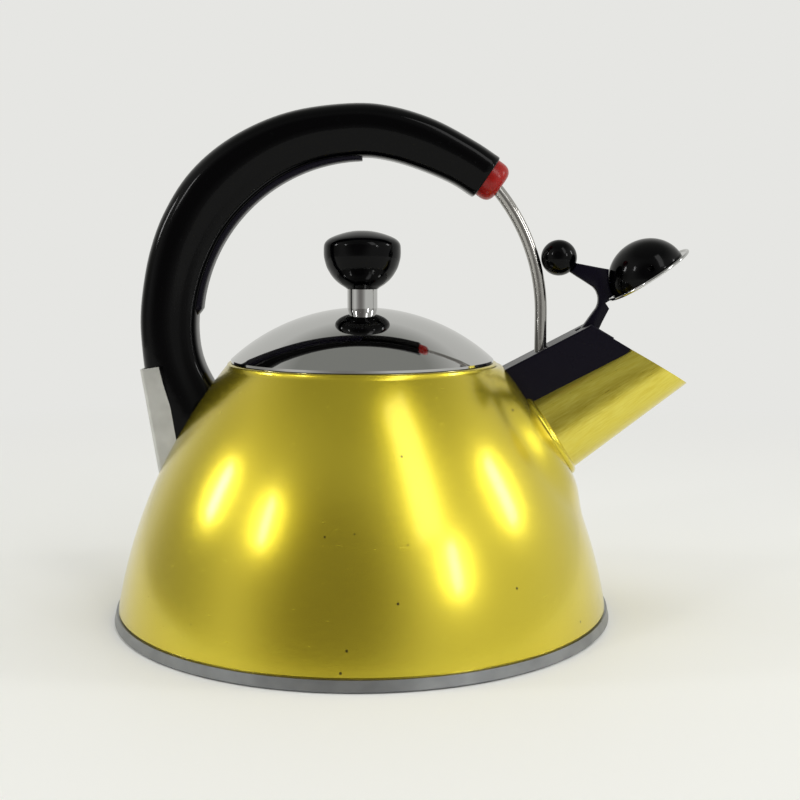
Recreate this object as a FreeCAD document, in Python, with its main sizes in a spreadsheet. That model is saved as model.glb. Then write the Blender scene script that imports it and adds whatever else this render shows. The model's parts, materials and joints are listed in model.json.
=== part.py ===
import FreeCAD, Part
import math
import os
import Sketcher
from FreeCAD import Vector

# Stovetop whistling kettle, in millimetres. The origin is the centre of the base's underside,
# +Z is up and +X runs from the handle's foot towards the spout. The middle plane is y = 0.

SIZES = [
    ("foot_radius", 106.1, "body where it leaves the base"),
    ("base_spread", 1.8, "base cap beyond the body"),
    ("base_height", 4.8, "underside to the body's floor"),
    ("base_skin", 0.8, "bottom of the base cap"),
    ("base_rim", 1.6, "wall of the base cap"),
    ("foot_step", 0.9, "depth of the groove above the base"),
    ("foot_groove", 0.6, "height of the groove above the base"),
    ("dome_arc", 219.8, "radius of the body's side line"),
    ("body_wall", 1.0, "sheet of the body"),
    ("ledge_width", 8.4, "body under its rolled rim, beyond the opening"),
    ("rim_round", 1.2, "rolled edge of the rim"),
    ("mouth_height", 109.6, "ledge that the lid rests on"),
    ("mouth_radius", 50.0, "opening for filling"),
    ("collar_depth", 6.0, "turned-down collar of the opening"),
    ("pad_proud", 0.65, "the spout's flat above the body's curve"),
    ("pad_radius", 25.0, "flat that the spout and its block stand on"),
    ("pad_shift", 26.5, "centre of the flat along it"),
    ("pad_depth", 8.0, "how deep the flat's shoulder starts"),
    ("pad_spread", 16.0, "how much wider the shoulder is there"),
    ("pad_top", 107.6, "height at which the shoulder meets the body"),
    ("spout_tilt", 32.8, "spout above level, in degrees"),
    ("spout_shift", 22.0, "spout's axis along the flat"),
    ("spout_radius", 18.9, "spout where it leaves the body"),
    ("spout_taper", 0.0787, "radius lost per millimetre"),
    ("spout_length", 85.0, "spout before its mouth is cut"),
    ("spout_wall", 1.0, "sheet of the spout"),
    ("spout_entry", 15.0, "hole in the body under the spout"),
    ("collar_spread", 1.9, "weld collar beyond the spout"),
    ("collar_height", 2.4, "weld collar along the spout"),
    ("collar_edge", 0.6, "upright edge of the weld collar"),
    ("collar_round", 2.7, "roundness of the weld collar"),
    ("lip_x", 50.63, "tip of the spout, from the lower side of its foot"),
    ("lip_z", 37.75, "tip of the spout, from the lower side of its foot"),
    ("mouth_drop", 30.6, "mouth plane below level, in degrees"),
    ("block_width", 18.0, "spout block across"),
    ("block_back_x", -8.79, "top of the block beside the body, from the upper side of the spout's foot"),
    ("block_back_z", 12.88, "top of the block beside the body, from the upper side of the spout's foot"),
    ("block_slope", 27.6, "top of the block above level, in degrees"),
    ("block_front_x", 27.91, "top of the block at the hinge, from the upper side of the spout's foot"),
    ("block_nose", 19.6, "front of the block along the mouth plane"),
    ("block_round", 0.7, "edges of the block"),
    ("pivot_x", 25.61, "whistle hinge, from the upper side of the spout's foot"),
    ("pivot_z", 26.88, "whistle hinge, from the upper side of the spout's foot"),
    ("pin_radius", 1.5, "hinge pin"),
    ("pin_cover", 2.0, "block left in front of the blind pin hole"),
    ("running_fit", 0.06, "lever on its pin, on the radius"),
    ("boss_radius", 3.3, "lever round its pin"),
    ("lever_width", 4.4, "lever across"),
    ("washer_width", 0.5, "friction washer in the slot"),
    ("slot_play", 0.05, "beside each friction washer"),
    ("slot_reach", 17.7, "slot along the mouth plane from the pin"),
    ("slot_room", 0.9, "slot beyond the lever's boss"),
    ("open_tilt", 33.6, "whistle plate above level when open, in degrees"),
    ("disc_lift", 5.97, "whistle plate above the pin"),
    ("disc_reach", 37.2, "whistle plate's centre from the pin"),
    ("disc_radius", 19.8, "whistle plate"),
    ("disc_sheet", 0.8, "whistle plate's sheet"),
    ("disc_lip", 0.9, "turned-up edge of the whistle plate"),
    ("disc_hole", 5.0, "steam hole of the whistle plate"),
    ("cup_radius", 9.0, "whistle cup"),
    ("cup_depth", 3.6, "whistle cup"),
    ("cup_sheet", 0.5, "whistle cup's sheet"),
    ("cup_hole", 1.6, "sounding hole of the cup"),
    ("cover_radius", 17.4, "whistle cover"),
    ("cover_wall", 1.6, "whistle cover"),
    ("vent_radius", 1.3, "steam vents of the cover"),
    ("vent_lift", 3.6, "vents above the plate"),
    ("ball_radius", 7.7, "thumb ball"),
    ("ball_turn", 15.1, "thumb ball round the rod's bend, in degrees"),
    ("ball_gap", 0.35, "thumb ball from the rod, when open"),
    ("boss_turn", 41.0, "where the stem leaves the boss, in degrees"),
    ("arm_end", 25.0, "end of the arm inside the cover"),
    ("arm_front_x", 4.6, "front of the arm, from the ball's centre"),
    ("arm_front_z", 5.8, "front of the arm, from the ball's centre"),
    ("arm_back_x", 0.8, "back of the arm, from the ball's centre"),
    ("arm_back_z", 4.6, "back of the arm, from the ball's centre"),
    ("stem_x", 7.1, "front of the lever's stem at the block"),
    ("stem_z", -0.9, "front of the lever's stem at the block"),
    ("heel_x", 15.2, "front of the stem under the plate"),
    ("heel_z", 3.9, "front of the stem under the plate"),
    ("crotch_x", 14.4, "fork of the lever below the ball"),
    ("crotch_z", 15.6, "fork of the lever below the ball"),
    ("neck_x", 10.8, "narrow part of the stem"),
    ("neck_z", 7.2, "narrow part of the stem"),
    ("crotch_arc", 7.5, "curve between fork and neck"),
    ("rod_radius", 2.6, "steel rod"),
    ("rod_x", 6.81, "rod where it enters the block, from the upper side of the spout's foot"),
    ("rod_foot", 7.48, "lower end of the rod, from the upper side of the spout's foot"),
    ("rod_drop", 90.3, "centre of the rod's bend below the handle's top"),
    ("rod_arc", 83.0, "bend of the rod"),
    ("rod_turn", 61.0, "bend of the rod, in degrees"),
    ("rod_seat", 0.05, "bore round the rod in the moulded parts"),
    ("grub_radius", 1.5, "grub screw against the rod"),
    ("grub_height", 5.5, "grub screw above the rod's end"),
    ("handle_width", 23.0, "handle across"),
    ("handle_round", 6.0, "edges of the handle"),
    ("top_x", -7.5, "highest point of the handle"),
    ("handle_rise", 110.7, "highest point of the handle above the ledge"),
    ("end_turn", 45.2, "handle's front end round the rod's bend, in degrees"),
    ("end_depth", 20.6, "front end, back to underside"),
    ("end_lean", 36.0, "handle's axis at its end below level, in degrees"),
    ("foot_depth", 23.3, "handle at its foot, back to underside"),
    ("inset_rise", 14.3, "centre of the underside's arc above the ledge"),
    ("grip_depth", 23.0, "handle at its top, back to underside"),
    ("heel_turn", 2.0, "insert's lower end above level, in degrees"),
    ("toe_turn", 88.5, "insert's front end above level, in degrees"),
    ("tail_turn", 44.0, "hidden end of the handle's back below level, in degrees"),
    ("strip_width", 12.0, "insert across"),
    ("strip_proud", 1.6, "insert below the handle"),
    ("strip_sink", 4.0, "insert into the handle"),
    ("core_depth", 9.0, "moulded channel above the underside"),
    ("tail_reach", 32.2, "hidden end of the underside, from the bracket's corner"),
    ("tail_drop", 12.6, "hidden end of the underside below the ledge"),
    ("cap_radius", 8.7, "red end cap"),
    ("cap_length", 7.9, "red end cap"),
    ("cap_skirt", 2.6, "straight side of the end cap"),
    ("cap_round", 7.0, "roundness of the end cap"),
    ("cap_nose", 4.2, "flat nose of the end cap"),
    ("bracket_inset", 11.4, "upper back corner of the bracket, in from the body's foot"),
    ("bracket_drop", 2.9, "upper back corner of the bracket below the ledge"),
    ("bracket_lean", 8.9, "bracket's back from upright, in degrees"),
    ("bracket_depth", 10.2, "side of the bracket from its back"),
    ("bracket_length", 48.0, "bracket before the body trims it"),
    ("bracket_sheet", 1.2, "sheet of the bracket"),
    ("bracket_round", 1.6, "folded edges of the bracket"),
    ("screw_radius", 2.0, "handle screw and knob screw"),
    ("screw_head", 4.0, "heads of those screws"),
    ("screw_drop", 21.0, "handle screw below the bracket's top"),
    ("screw_length", 15.0, "handle screw under its head"),
    ("nut_radius", 3.6, "threaded inserts"),
    ("lid_cover", 6.7, "edge of the lid beyond the opening"),
    ("lid_rise", 22.0, "crown of the lid above its edge"),
    ("lid_edge", 1.0, "upright edge of the lid"),
    ("lid_sheet", 0.9, "sheet of the lid"),
    ("lid_gap", 0.3, "lid over the ledge"),
    ("lid_flat", 7.0, "flat under the knob's ferrule"),
    ("skirt_play", 0.5, "skirt inside the collar"),
    ("skirt_depth", 11.5, "skirt below the ledge"),
    ("skirt_sheet", 0.6, "sheet of the skirt"),
    ("skirt_flange", 5.6, "flange of the skirt"),
    ("ferrule_radius", 6.5, "knob's ferrule"),
    ("ferrule_height", 8.2, "knob's ferrule"),
    ("ferrule_wall", 1.2, "knob's ferrule"),
    ("knob_radius", 16.6, "widest part of the knob"),
    ("knob_height", 25.0, "knob above its ferrule"),
    ("knob_waist", 16.4, "widest part above the knob's foot"),
    ("knob_foot", 7.2, "foot of the knob"),
    ("knob_belly", 17.5, "curve of the knob's side"),
    ("knob_shoulder", 15.2, "edge of the knob's crown"),
    ("knob_crown", 3.6, "rise of the knob's crown"),
    ("knob_edge", 4.5, "roundness between side and crown"),
    ("knob_insert", 12.0, "depth of the knob's threaded insert"),
    ("thread_room", 1.0, "hole beyond the knob's threaded insert"),
    ("washer_sheet", 1.0, "washer under the lid"),
    ("washer_radius", 5.5, "washer under the lid"),
    ("block_screw", 1.75, "screws from the spout into the block"),
    ("block_screw_head", 3.2, "heads of those screws"),
    ("block_screw_low", 17.0, "first block screw along the spout"),
    ("block_screw_high", 31.0, "second block screw along the spout"),
    ("block_screw_bite", 7.0, "those screws into the block"),
]

doc = FreeCAD.newDocument("Kettle")
dim = doc.addObject("Spreadsheet::Sheet", "dim")
for row, (alias, size, note) in enumerate(SIZES, start=1):
    dim.set("A%d" % row, alias)
    dim.set("B%d" % row, str(size))
    dim.set("C%d" % row, note)
    dim.setAlias("B%d" % row, alias)
doc.recompute()

subparts = {}


def value(size):
    """The number that an expression of the sheet's cells gives."""
    result = dim.evalExpression(size)
    return float(getattr(result, "Value", result))


def bind(item, **sizes):
    for name, size in sizes.items():
        item.setExpression(name, size)
    return item


def place(item, along="0", up="0", turn="0", across="0"):
    """Put an object in the middle plane, leant by turn degrees from +Z towards +X."""
    spot = "vector(%s; %s; %s)" % (along, across, up)
    lean = "rotation(vector(0; 1; 0); %s)" % turn
    item.setExpression("Placement", "placement(%s; %s)" % (spot, lean))
    return item


def solid(kind, name, **sizes):
    return bind(doc.addObject("Part::" + kind, name), **sizes)


def cylinder(name, radius, height):
    return solid("Cylinder", name, Radius=radius, Height=height)


def cone(name, low, high, height):
    return solid("Cone", name, Radius1=low, Radius2=high, Height=height)


def crosswise(name, radius, width, along, up, offset="0"):
    """A cylinder along Y, centred on the middle plane unless offset."""
    bar = cylinder(name, radius, width)
    spot = "vector(%s; (%s) / 2 + (%s); %s)" % (along, width, offset, up)
    bar.setExpression("Placement", "placement(%s; rotation(vector(1; 0; 0); 90))" % spot)
    return bar


def fuse(name, *pieces):
    joined = doc.addObject("Part::MultiFuse", name)
    joined.Shapes = list(pieces)
    return joined


def cut(name, base, *tools):
    result = doc.addObject("Part::Cut", name)
    result.Base = base
    result.Tool = tools[0] if len(tools) == 1 else fuse(name + "_tools", *tools)
    return result


def keep(label, item):
    """Name an object as one of the kettle's sub-parts."""
    item.Label = label
    subparts[label] = item
    return item


def origin_plane(body, role):
    return next(plane for plane in body.Origin.OriginFeatures if plane.Role == role)


def new_body(name):
    return doc.addObject("PartDesign::Body", name)


def new_sketch(body, name, role="XZ_Plane"):
    sketch = body.newObject("Sketcher::SketchObject", name)
    sketch.AttachmentSupport = [(origin_plane(body, role), "")]
    sketch.MapMode = "FlatFace"
    return sketch


def arc_through(start, end, radius, bow):
    """Arc from start to end; bow is 1 when it turns left on the way, -1 when it turns right."""
    middle = (start + end) / 2
    chord = end - start
    rise = math.sqrt(max(radius ** 2 - (chord.Length / 2) ** 2, 0.0))
    left = Vector(-chord.y, chord.x, 0).normalize()
    centre = middle + left * rise * bow
    first, last = (start, end) if bow > 0 else (end, start)
    low = math.atan2(first.y - centre.y, first.x - centre.x)
    high = math.atan2(last.y - centre.y, last.x - centre.x)
    return Part.ArcOfCircle(Part.Circle(centre, Vector(0, 0, 1), radius), low, high)


def draw(sketch, corners, arcs=None, closed=True):
    """Join corners, given as pairs of expressions; arcs maps a side's number to (radius, bow)."""
    arcs = arcs or {}
    spots = [Vector(value(x), value(y), 0) for x, y in corners]
    count = len(spots)
    sides = count if closed else count - 1
    ends = []
    for side in range(sides):
        start, end = spots[side], spots[(side + 1) % count]
        if side in arcs:
            radius, bow = arcs[side]
            sketch.addGeometry(arc_through(start, end, value(radius), bow))
            ends.append((1, 2) if bow > 0 else (2, 1))
        else:
            sketch.addGeometry(Part.LineSegment(start, end))
            ends.append((1, 2))
    for side in range(sides if closed else sides - 1):
        after = (side + 1) % count
        sketch.addConstraint(Sketcher.Constraint("Coincident", side, ends[side][1], after, ends[after][0]))
    for corner, (x, y) in enumerate(corners):
        side, point = (corner, ends[corner][0]) if corner < sides else (sides - 1, ends[-1][1])
        for kind, size, spot in (("DistanceX", x, spots[corner].x), ("DistanceY", y, spots[corner].y)):
            number = sketch.addConstraint(Sketcher.Constraint(kind, -1, 1, side, point, spot))
            sketch.setExpression("Constraints[%d]" % number, size)
    for side, (radius, bow) in arcs.items():
        number = sketch.addConstraint(Sketcher.Constraint("Radius", side, value(radius)))
        sketch.setExpression("Constraints[%d]" % number, radius)
    return sketch


def turned(name, corners, arcs=None):
    """A body turned about Z; corners are (radius, height)."""
    body = new_body(name)
    sketch = draw(new_sketch(body, name + "_profile"), corners, arcs)
    feature = body.newObject("PartDesign::Revolution", name + "_turn")
    feature.Profile = sketch
    feature.ReferenceAxis = (sketch, ["V_Axis"])
    feature.Angle = 360
    return body


def slab(name, corners, width, arcs=None):
    """A body with a side outline in the middle plane, as wide as width across it."""
    body = new_body(name)
    sketch = draw(new_sketch(body, name + "_outline"), corners, arcs)
    feature = body.newObject("PartDesign::Pad", name + "_pad")
    feature.Profile = sketch
    feature.SideType = "Symmetric"
    feature.setExpression("Length", width)
    doc.recompute()
    return body


def soften(body, name, radius, wanted):
    """Round the edges of the body's last feature for which wanted(edge) is true."""
    doc.recompute()
    base = body.Tip
    edges = base.Shape.Edges
    names = ["Edge%d" % (number + 1) for number, edge in enumerate(edges) if wanted(edge)]
    feature = body.newObject("PartDesign::Fillet", name)
    feature.Base = (base, names)
    feature.setExpression("Radius", radius)
    doc.recompute()
    return body


def on_sides(edge):
    """True for an edge that lies in one of a slab's two flat sides."""
    return edge.BoundBox.YLength < 0.001


def curved_on_sides(edge):
    return on_sides(edge) and isinstance(edge.Curve, Part.Circle)


# ---- places that follow from the sizes -----------------------------------------------------

BASE_RADIUS = "(dim.foot_radius + dim.base_spread)"
RIM_RADIUS = "(dim.mouth_radius + dim.ledge_width)"
LID_RADIUS = "(dim.mouth_radius + dim.lid_cover)"

FOOT_LINE = "(dim.base_height + dim.foot_groove)"
RIM_LINE = "(dim.mouth_height - dim.rim_round)"
SIDE_X = f"(({RIM_RADIUS} - dim.foot_radius) / 2)"
SIDE_Z = f"(({RIM_LINE} - {FOOT_LINE}) / 2)"
SIDE_BOW = f"sqrt(dim.dome_arc ^ 2 / ({SIDE_X} ^ 2 + {SIDE_Z} ^ 2) - 1)"
DOME_X = f"(dim.foot_radius + {SIDE_X} - {SIDE_Z} * {SIDE_BOW})"
DOME_Z = f"({FOOT_LINE} + {SIDE_Z} + {SIDE_X} * {SIDE_BOW})"
DOME_REACH = f"{DOME_X} * cos(dim.spout_tilt) + {DOME_Z} * sin(dim.spout_tilt) + dim.dome_arc"
PAD_REACH = f"({DOME_REACH} + dim.pad_proud)"
FLAT_X = f"({PAD_REACH} * cos(dim.spout_tilt))"
FLAT_Z = f"({PAD_REACH} * sin(dim.spout_tilt))"
SPOUT_LEAN = "90 - dim.spout_tilt"

LOWER_X = f"({FLAT_X} - (dim.spout_shift - dim.spout_radius) * sin(dim.spout_tilt))"
LOWER_Z = f"({FLAT_Z} + (dim.spout_shift - dim.spout_radius) * cos(dim.spout_tilt))"
UPPER_X = f"({FLAT_X} - (dim.spout_shift + dim.spout_radius) * sin(dim.spout_tilt))"
UPPER_Z = f"({FLAT_Z} + (dim.spout_shift + dim.spout_radius) * cos(dim.spout_tilt))"
LIP_X = f"({LOWER_X} + dim.lip_x)"
LIP_Z = f"({LOWER_Z} + dim.lip_z)"
BLOCK_BACK_X = f"({UPPER_X} + dim.block_back_x)"
BLOCK_BACK_Z = f"({UPPER_Z} + dim.block_back_z)"
BLOCK_FRONT_X = f"({UPPER_X} + dim.block_front_x)"
PIVOT_X = f"({UPPER_X} + dim.pivot_x)"
PIVOT_Z = f"({UPPER_Z} + dim.pivot_z)"

TOP_Z = "(dim.mouth_height + dim.handle_rise)"
BRACKET_TOP_X = "(dim.bracket_inset - dim.foot_radius)"
BRACKET_TOP_Z = "(dim.mouth_height - dim.bracket_drop)"
FOOT_X = f"({BRACKET_TOP_X} + dim.tail_reach)"
FOOT_Z = "(dim.mouth_height - dim.tail_drop)"
INSET_Z = "(dim.mouth_height + dim.inset_rise)"
INSET_ARC = f"({TOP_Z} - dim.grip_depth - {INSET_Z})"
INSET_X = f"({BRACKET_TOP_X} + dim.foot_depth + {INSET_ARC})"

ROD_X = f"({UPPER_X} + dim.rod_x)"
ROD_FOOT = f"({UPPER_Z} + dim.rod_foot)"
BEND_X = f"({ROD_X} - dim.rod_arc)"
BEND_Z = f"({TOP_Z} - dim.rod_drop)"
ROD_STRAIGHT = f"({BEND_Z} - {ROD_FOOT})"
GRUB_HEIGHT = f"({ROD_FOOT} + dim.grub_height)"
END_X = f"({BEND_X} + dim.rod_arc * cos(dim.end_turn))"
END_Z = f"({BEND_Z} + dim.rod_arc * sin(dim.end_turn))"

BALL_OUT = "(dim.rod_arc + dim.rod_radius + dim.ball_gap + dim.ball_radius)"
BALL_X = f"({BEND_X} + {BALL_OUT} * cos(dim.ball_turn) - {PIVOT_X})"
BALL_Z = f"({BEND_Z} + {BALL_OUT} * sin(dim.ball_turn) - {PIVOT_Z})"
BALL_REACH = f"({BALL_X} * cos(dim.open_tilt) + {BALL_Z} * sin(dim.open_tilt))"
BALL_LIFT = f"({BALL_Z} * cos(dim.open_tilt) - {BALL_X} * sin(dim.open_tilt))"


# ---- body and base -------------------------------------------------------------------------


def on_flat(shift, lift="0"):
    """A place on the spout's flat: shift along it, lift out of it."""
    along = "(%s + (%s) * cos(dim.spout_tilt) - (%s) * sin(dim.spout_tilt))" % (FLAT_X, lift, shift)
    up = "(%s + (%s) * sin(dim.spout_tilt) + (%s) * cos(dim.spout_tilt))" % (FLAT_Z, lift, shift)
    return along, up


def body_outside():
    corners = [
        ("0", "dim.base_height"),
        ("dim.foot_radius - dim.foot_step", "dim.base_height"),
        ("dim.foot_radius - dim.foot_step", "dim.base_height + dim.foot_groove"),
        ("dim.foot_radius", "dim.base_height + dim.foot_groove"),
        (RIM_RADIUS, "dim.mouth_height - dim.rim_round"),
        (f"{RIM_RADIUS} - dim.rim_round", "dim.mouth_height"),
        ("0", "dim.mouth_height"),
    ]
    return turned("body_form", corners, {3: ("dim.dome_arc", 1), 4: ("dim.rim_round", 1)})


def body_inside():
    floor = "dim.base_height + dim.body_wall"
    under_ledge = "dim.mouth_height - dim.body_wall"
    corners = [
        ("0", floor),
        ("dim.foot_radius - dim.foot_step - dim.body_wall", floor),
        ("dim.foot_radius - dim.body_wall", floor + " + dim.foot_groove"),
        (f"{RIM_RADIUS} - dim.body_wall", under_ledge + " - dim.rim_round"),
        (f"{RIM_RADIUS} - dim.body_wall - dim.rim_round", under_ledge),
        ("dim.mouth_radius + dim.body_wall", under_ledge),
        ("dim.mouth_radius + dim.body_wall", "dim.mouth_height - dim.collar_depth"),
        ("dim.mouth_radius", "dim.mouth_height - dim.collar_depth"),
        ("dim.mouth_radius", "dim.mouth_height + dim.body_wall"),
        ("0", "dim.mouth_height + dim.body_wall"),
    ]
    return turned("body_hollow", corners, {2: ("dim.dome_arc - dim.body_wall", 1)})


def shoulder(name, sink):
    """The raised flat under the spout, sunk below the flat by sink and kept under the rim."""
    low = "dim.pad_radius + dim.pad_spread"
    piece = cone(name + "_cone", low, "dim.pad_radius", "dim.pad_depth")
    place(piece, *on_flat("dim.pad_shift", "0 - dim.pad_depth - (%s)" % sink), turn=SPOUT_LEAN)
    limit = cylinder(name + "_limit", BASE_RADIUS, "dim.pad_top - 2 * (%s)" % sink)
    common = doc.addObject("Part::Common", name)
    common.Base = piece
    common.Tool = limit
    return common


body_form = fuse("body_form_with_flat", body_outside(), shoulder("flat_outside", "0"))


def body_shell():
    hollow = fuse("body_hollow_with_flat", body_inside(), shoulder("flat_inside", "dim.body_wall"))
    entry = cylinder("spout_entry_tool", "dim.spout_entry", "2 * dim.pad_depth")
    place(entry, *on_flat("dim.spout_shift", "0 - dim.pad_depth"), turn=SPOUT_LEAN)
    keep("body_shell", cut("body_shell_cut", body_form, hollow, entry))


def base():
    inner = f"{BASE_RADIUS} - dim.base_rim"
    cap = [
        ("0", "0"),
        (f"{BASE_RADIUS} - dim.base_skin", "0"),
        (BASE_RADIUS, "dim.base_skin"),
        (f"{BASE_RADIUS} - dim.foot_step", "dim.base_height"),
        (inner, "dim.base_height"),
        (inner, "dim.base_skin"),
        ("0", "dim.base_skin"),
    ]
    keep("base_cap", turned("base_cap_body", cap))
    core = cylinder("base_core_disc", inner, "dim.base_height - dim.base_skin")
    keep("base_core", place(core, up="dim.base_skin"))


# ---- spout and its block -------------------------------------------------------------------

MOUTH_TURN = "dim.mouth_drop"


def beyond_mouth(name, gap="0"):
    """Everything past the mouth plane, moved out by gap."""
    box = solid("Box", name, Length="4 * dim.disc_radius", Width="4 * dim.disc_radius",
                Height="dim.spout_length")
    back = "(2 * dim.disc_radius)"
    along = f"{LIP_X} - %s * cos(dim.mouth_drop) + (%s) * sin(dim.mouth_drop)" % (back, gap)
    up = f"{LIP_Z} + %s * sin(dim.mouth_drop) + (%s) * cos(dim.mouth_drop)" % (back, gap)
    return place(box, along, up, MOUTH_TURN, "0 - 2 * dim.disc_radius")


def spout_form(name, growth="0", start="0"):
    """The spout as a solid, growth outside its sheet, beginning start along its axis."""
    low = "dim.spout_radius + (%s) - dim.spout_taper * (%s)" % (growth, start)
    high = "dim.spout_radius + (%s) - dim.spout_taper * dim.spout_length" % growth
    piece = cone(name, low, high, "dim.spout_length - (%s)" % start)
    return place(piece, *on_flat("dim.spout_shift", start), turn=SPOUT_LEAN)


def block_screw_places():
    return ("dim.block_screw_low", "dim.block_screw_high")


def block_screw_frame(item, reach, lift):
    """Place an upright piece square to the spout's axis, reach along it and lift out from it."""
    return place(item, *on_flat("dim.spout_shift + (%s)" % lift, reach), turn="0 - dim.spout_tilt")


def inside_radius(reach):
    return "(dim.spout_radius - dim.spout_wall - dim.spout_taper * (%s))" % reach


def block_screw_holes(name):
    holes = []
    for number, reach in enumerate(block_screw_places()):
        hole = cylinder("%s_%d" % (name, number), "dim.block_screw",
                        "dim.block_screw_bite + 3 * dim.spout_wall")
        holes.append(block_screw_frame(hole, reach, inside_radius(reach) + " - dim.spout_wall"))
    return holes


def collar_form(name):
    """The weld collar round the spout's foot, before the spout is taken out of it."""
    outer = "dim.spout_radius + dim.collar_spread"
    inner = "dim.spout_radius / 2"
    ring = turned(name, [
        (inner, "0"),
        (outer, "0"),
        (outer, "dim.collar_edge"),
        ("dim.spout_radius", "dim.collar_height"),
        (inner, "dim.collar_height"),
    ], {2: ("dim.collar_round", 1)})
    return place(ring, *on_flat("dim.spout_shift"), turn=SPOUT_LEAN)


def spout():
    inside = spout_form("spout_bore", "0 - dim.spout_wall", "0 - dim.spout_wall")
    holes = block_screw_holes("spout_screw_hole")
    keep("spout_tube", cut("spout_tube_cut", spout_form("spout_outside"), inside,
                           beyond_mouth("mouth_cut"), *holes))
    keep("spout_collar", cut("spout_collar_cut", collar_form("collar_ring"), spout_form("spout_in_collar")))


def block_outline():
    """Side of the block: back, hinge corner, nose and the edge hidden in the spout."""
    rise = f"({BLOCK_FRONT_X} - {BLOCK_BACK_X}) * tan(dim.block_slope)"
    front_z = f"({BLOCK_BACK_Z} + %s)" % rise
    nose_x = f"({BLOCK_FRONT_X} + dim.block_nose * cos(dim.mouth_drop))"
    nose_z = "(%s - dim.block_nose * sin(dim.mouth_drop))" % front_z
    sunk = "dim.spout_radius"
    return [
        (f"{BLOCK_BACK_X} - %s * cos(dim.block_slope)" % sunk,
         f"{BLOCK_BACK_Z} - %s * sin(dim.block_slope)" % sunk),
        (BLOCK_FRONT_X, front_z),
        (nose_x, nose_z),
        ("%s - %s * sin(dim.spout_tilt)" % (nose_x, sunk), "%s - %s * cos(dim.spout_tilt)" % (nose_z, sunk)),
        on_flat("dim.spout_shift", "0 - dim.pad_depth"),
    ]


def hinge_slot(name):
    """Room for the lever between closed and open, in the frame of the closed whistle."""
    width = "dim.lever_width + 2 * (dim.washer_width + dim.slot_play)"
    room = "(dim.boss_radius + dim.slot_room)"
    corners = [
        ("0 - " + room, "0 - " + room),
        ("dim.slot_reach - dim.boss_radius", "0 - " + room),
        ("dim.slot_reach", "0 - dim.slot_room"),
        ("dim.slot_reach", "dim.disc_lift + dim.boss_radius"),
        ("0 - " + room, "dim.disc_lift + dim.boss_radius"),
    ]
    return place(slab(name, corners, width), PIVOT_X, PIVOT_Z, MOUTH_TURN)


def pin_length():
    return "(dim.block_width - dim.pin_cover)"


def spout_block():
    form = slab("block_form", block_outline(), "dim.block_width")
    soften(form, "block_edges", "dim.block_round", on_sides)
    pin_hole = crosswise("block_pin_hole", "dim.pin_radius", pin_length(), PIVOT_X, PIVOT_Z,
                         "dim.pin_cover / 2")
    grub_hole = crosswise("block_grub_hole", "dim.grub_radius", "dim.block_width / 2", ROD_X,
                          GRUB_HEIGHT, "dim.block_width / 4")
    metal = [body_form, spout_form("spout_under_block"), collar_form("collar_under_block")]
    room = [beyond_mouth("block_front_cut"), hinge_slot("hinge_slot"), pin_hole, grub_hole,
            rod_form("rod_in_block", "dim.rod_seat")]
    holes = block_screw_holes("block_screw_hole")
    keep("spout_block", cut("spout_block_cut", form, *metal, *room, *holes))


def block_screws():
    screws = []
    for number, reach in enumerate(block_screw_places()):
        head = cylinder("block_screw_head_%d" % number, "dim.block_screw_head", "2 * dim.spout_wall")
        block_screw_frame(head, reach, inside_radius(reach) + " - 2.5 * dim.spout_wall")
        shank = cylinder("block_screw_shank_%d" % number, "dim.block_screw",
                         "dim.block_screw_bite + 2 * dim.spout_wall")
        block_screw_frame(shank, reach, inside_radius(reach) + " - dim.spout_wall")
        screws.append(fuse("block_screw_%d" % number, head, shank))
    group = doc.addObject("Part::Compound", "block_screw_group")
    group.Links = screws
    keep("block_screws", group)


# ---- rod and handle ------------------------------------------------------------------------

def rod_form(name, growth="0"):
    """The bent rod, upright from the block and then round towards the handle."""
    body = new_body(name)
    path = draw(new_sketch(body, name + "_path"), [
        ("0", "0"),
        ("0", ROD_STRAIGHT),
        ("dim.rod_arc * (cos(dim.rod_turn) - 1)", f"{ROD_STRAIGHT} + dim.rod_arc * sin(dim.rod_turn)"),
    ], {1: ("dim.rod_arc", 1)}, closed=False)
    section = new_sketch(body, name + "_section", "XY_Plane")
    section.addGeometry(Part.Circle(Vector(0, 0, 0), Vector(0, 0, 1), value("dim.rod_radius")))
    section.addConstraint(Sketcher.Constraint("Coincident", 0, 3, -1, 1))
    number = section.addConstraint(Sketcher.Constraint("Radius", 0, value("dim.rod_radius")))
    section.setExpression("Constraints[%d]" % number, "dim.rod_radius + (%s)" % growth)
    doc.recompute()
    pipe = body.newObject("PartDesign::AdditivePipe", name + "_pipe")
    pipe.Profile = section
    pipe.Spine = (path, ["Edge1", "Edge2"])
    return place(body, ROD_X, ROD_FOOT)


def rod():
    keep("handle_rod", rod_form("rod_steel"))
    against_rod = "(dim.rod_radius + dim.rod_seat)"
    grub = crosswise("grub_screw_steel", "dim.grub_radius", "dim.block_width / 2 - " + against_rod,
                     ROD_X, GRUB_HEIGHT, "dim.block_width / 4 + %s / 2" % against_rod)
    keep("grub_screw", grub)


def on_inset(arc, turn):
    """A point of an arc about the underside's centre, at turn degrees from -X towards +Z."""
    return (f"({INSET_X} - (%s) * cos(%s))" % (arc, turn), f"({INSET_Z} + (%s) * sin(%s))" % (arc, turn))


def end_corner(side):
    """Corner of the handle's front end, on its back (1) or its underside (-1)."""
    half = "%d * dim.end_depth / 2" % side
    return (f"({END_X} + %s * sin(dim.end_lean))" % half, f"({END_Z} + %s * cos(dim.end_lean))" % half)


def level_arc(x, z):
    """Radius of the arc that leaves the handle's highest point level and ends at (x, z)."""
    return f"((dim.top_x - %s) ^ 2 + ({TOP_Z} - %s) ^ 2) / (2 * ({TOP_Z} - %s))" % (x, z, z)


def back_arc():
    return level_arc(BRACKET_TOP_X, BRACKET_TOP_Z)


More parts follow.
